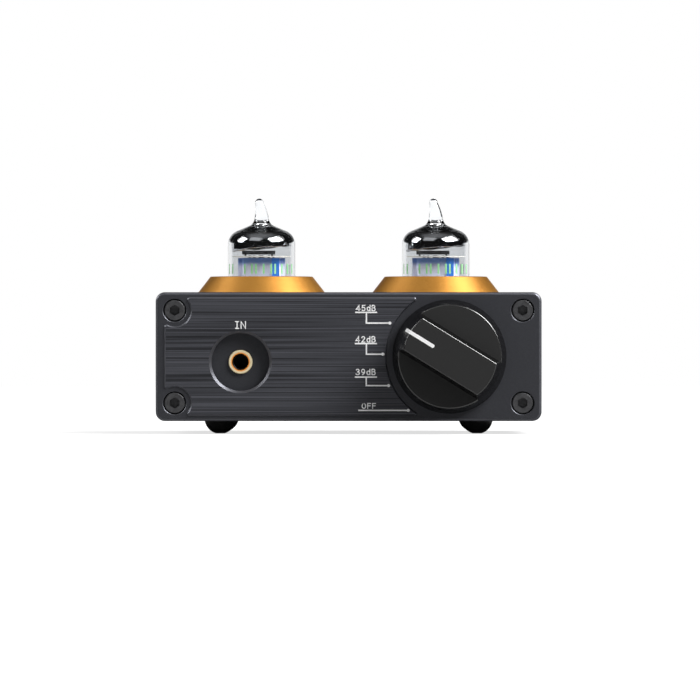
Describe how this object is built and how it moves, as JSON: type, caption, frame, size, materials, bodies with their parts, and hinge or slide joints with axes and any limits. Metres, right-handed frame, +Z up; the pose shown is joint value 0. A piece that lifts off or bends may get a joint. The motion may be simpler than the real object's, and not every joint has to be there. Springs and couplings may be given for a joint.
{
  "type": "phono preamp",
  "caption": "Small black metal phono preamp with miniature tubes in gold rings on top, a bar-grip gain knob, a round jack recess and domed feet.",
  "frame": {"origin": "under the middle of the whole object's footprint, on the surface its feet stand on", "axes": "+X to the right as seen from the front, +Y from the front panel to the rear panel, +Z up"},
  "size_m": [0.1, 0.1288, 0.0617],
  "materials": {
    "black_anodised": "bead-blasted, black anodised",
    "brushed_front": "bead-blasted frame and brushed field, black anodised",
    "black_steel": "black oxide",
    "board_green": "solder mask",
    "gold_contact": "turned, gold plated",
    "black_plastic": "moulded",
    "bright_steel": "turned, nickel plated",
    "knob_plastic": "moulded, glossy sides and satin faces",
    "pointer_white": "filled paint",
    "brass": "turned",
    "can_sleeve": "shrunk film",
    "film_box": "potted",
    "foot_rubber": "moulded",
    "gold_anodised": "bead-blasted, gold anodised",
    "socket_ceramic": "fired, unglazed",
    "tube_glass": "blown, clear, mirror getter on the dome",
    "tube_mica": "split sheet",
    "tube_nickel": "formed nickel-plated sheet",
    "white_plastic": "moulded",
    "red_plastic": "moulded"
  },
  "bodies": {
    "chassis": {"case_sleeve": "black_anodised", "front_panel": "brushed_front", "rear_panel": "black_anodised", "front_screws": "black_steel", "rear_screws": "black_steel", "main_board": "board_green", "input_jack_bush": "gold_contact", "input_jack_body": "black_plastic", "switch_bushing": "bright_steel", "switch_body": "black_plastic", "switch_terminals": "bright_steel", "switch_washer": "bright_steel", "switch_nut": "bright_steel", "rca_contacts": "gold_contact", "rca_nuts": "bright_steel", "ground_post": "gold_contact", "ground_lock_nut": "bright_steel", "inlet_body": "black_plastic", "inlet_pin": "bright_steel", "filter_capacitors": "can_sleeve", "film_capacitors": "film_box", "amplifier_chips": "black_plastic", "power_inductor": "black_plastic", "ring_nuts": "black_anodised", "foot_front_left": "foot_rubber", "foot_front_right": "foot_rubber", "foot_rear_left": "foot_rubber", "foot_rear_right": "foot_rubber", "left_tube_ring": "gold_anodised", "left_tube_socket": "socket_ceramic", "left_socket_contacts": "bright_steel", "right_tube_ring": "gold_anodised", "right_tube_socket": "socket_ceramic", "right_socket_contacts": "bright_steel", "rca_in_left_shell": "gold_contact", "rca_in_left_insulator": "white_plastic", "rca_in_right_shell": "gold_contact", "rca_in_right_insulator": "red_plastic", "rca_out_left_shell": "gold_contact", "rca_out_left_insulator": "white_plastic", "rca_out_right_shell": "gold_contact", "rca_out_right_insulator": "red_plastic"},
    "knob": {"gain_knob": "knob_plastic", "knob_pointer": "pointer_white", "knob_insert": "brass", "switch_shaft": "bright_steel"},
    "left_tube": {"left_tube_glass": "tube_glass", "left_tube_pins": "bright_steel", "left_tube_micas": "tube_mica", "left_tube_plate": "tube_nickel", "left_tube_cathode": "tube_nickel", "left_tube_getter": "tube_nickel"},
    "right_tube": {"right_tube_glass": "tube_glass", "right_tube_pins": "bright_steel", "right_tube_micas": "tube_mica", "right_tube_plate": "tube_nickel", "right_tube_cathode": "tube_nickel", "right_tube_getter": "tube_nickel"},
    "ground_nut": {"ground_thumb_nut": "gold_contact"}
  },
  "joints": [
    {"name": "gain_turn", "type": "hinge", "parent": "chassis", "child": "knob", "pos_m": [0.0261, -0.0492, 0.02], "axis": [0, -1, 0], "range_deg": [0, 84]},
    {"name": "left_tube_pull", "type": "slide", "parent": "chassis", "child": "left_tube", "axis": [0, 0, 1], "range_m": [0, 0.03]},
    {"name": "right_tube_pull", "type": "slide", "parent": "chassis", "child": "right_tube", "axis": [0, 0, 1], "range_m": [0, 0.03]},
    {"name": "ground_nut_turn", "type": "hinge", "parent": "chassis", "child": "ground_nut", "pos_m": [-0.01, 0.0589, 0.018], "axis": [0, 1, 0], "continuous": true}
  ]
}
